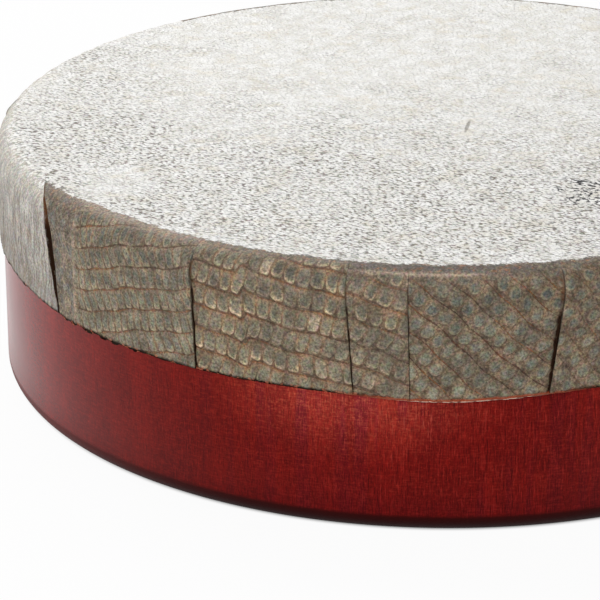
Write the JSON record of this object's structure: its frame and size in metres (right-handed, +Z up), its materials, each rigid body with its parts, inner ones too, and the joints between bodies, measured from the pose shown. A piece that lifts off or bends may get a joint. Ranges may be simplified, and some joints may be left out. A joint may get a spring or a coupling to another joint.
{
  "type": "kanjira",
  "caption": "Small frame drum: a turned wooden shell with a pleated reptile-patterned skin glued over its upper edge and loose metal discs on a pin in a slot through the shell.",
  "frame": {"origin": "middle of the drum's footprint, on its axis, at the level of the open edge that it rests on", "axes": "+Z up along the drum's axis towards the head, -Y towards the viewer of the picture, +X to the viewer's right"},
  "size_m": [0.1792, 0.1793, 0.0515],
  "materials": {
    "shell_wood": "mahogany-red lacquer, glossy, fine grain showing through",
    "drum_skin": "lizard-scaled skin, dry, pale on the playing face and grey-brown on the skirt",
    "pin_steel": "plain drawn steel pin",
    "jingle_brass": "pressed brass sheet, turned marks, lightly tarnished"
  },
  "bodies": {
    "drum": {"shell": "shell_wood", "drumhead": "drum_skin", "jingle_pin": "pin_steel"},
    "jingle_1": {"jingle_1": "jingle_brass"},
    "jingle_2": {"jingle_2": "jingle_brass"},
    "jingle_3": {"jingle_3": "jingle_brass"},
    "jingle_4": {"jingle_4": "jingle_brass"}
  },
  "joints": [
    {"name": "jingle_1_slide", "type": "slide", "parent": "drum", "child": "jingle_1", "axis": [0, 0, 1], "range_m": [0, 0.0016]},
    {"name": "jingle_2_slide", "type": "slide", "parent": "jingle_1", "child": "jingle_2", "axis": [0, 0, 1], "range_m": [0, 0.0016]},
    {"name": "jingle_3_slide", "type": "slide", "parent": "jingle_2", "child": "jingle_3", "axis": [0, 0, 1], "range_m": [0, 0.0016]},
    {"name": "jingle_4_slide", "type": "slide", "parent": "jingle_3", "child": "jingle_4", "axis": [0, 0, 1], "range_m": [0, 0.0016]}
  ]
}
